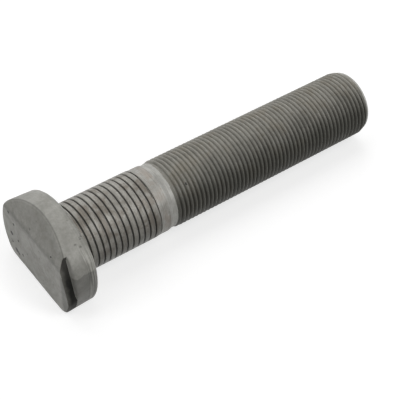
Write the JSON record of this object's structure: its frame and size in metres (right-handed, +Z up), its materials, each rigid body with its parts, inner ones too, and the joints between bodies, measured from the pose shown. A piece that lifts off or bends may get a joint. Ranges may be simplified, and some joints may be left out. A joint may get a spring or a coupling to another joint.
{
  "type": "wheel bolt",
  "caption": "Press-in wheel bolt with an oval head flat on one side, a finely grooved shank, a plain collar and a long fine thread.",
  "frame": {"origin": "on the surface the bolt lies on, under the middle of its bounding box", "axes": "+X along the bolt from the head to the thread end, +Z up; the flat of the head is down and the step in the head is on the -Y side"},
  "size_m": [0.1204, 0.0375, 0.0268],
  "materials": {
    "steel": "matt grey, phosphated and oiled"
  },
  "bodies": {
    "root": {"wheel_bolt": "steel"}
  },
  "joints": []
}
